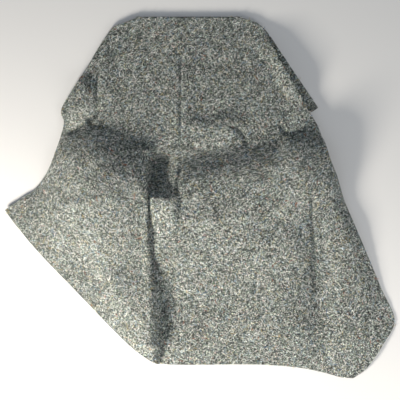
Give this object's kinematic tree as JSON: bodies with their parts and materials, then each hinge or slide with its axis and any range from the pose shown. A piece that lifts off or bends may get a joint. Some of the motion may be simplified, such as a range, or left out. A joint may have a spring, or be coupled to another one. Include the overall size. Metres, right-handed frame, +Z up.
{
  "type": "moving blanket",
  "caption": "Thin felt moving blanket lying loosely on the floor, its top and left side turned under and a long pleat at the left.",
  "frame": {"origin": "middle of the lying blanket's outline, on the surface it rests on", "axes": "+X towards the blanket's right side, +Y from its front hem to its top fold, +Z up"},
  "size_m": [1.4901, 1.3837, 0.1056],
  "materials": {
    "felt": "matt grey needled felt of mixed recycled fibres"
  },
  "bodies": {
    "root": {"blanket": "felt"}
  },
  "joints": []
}
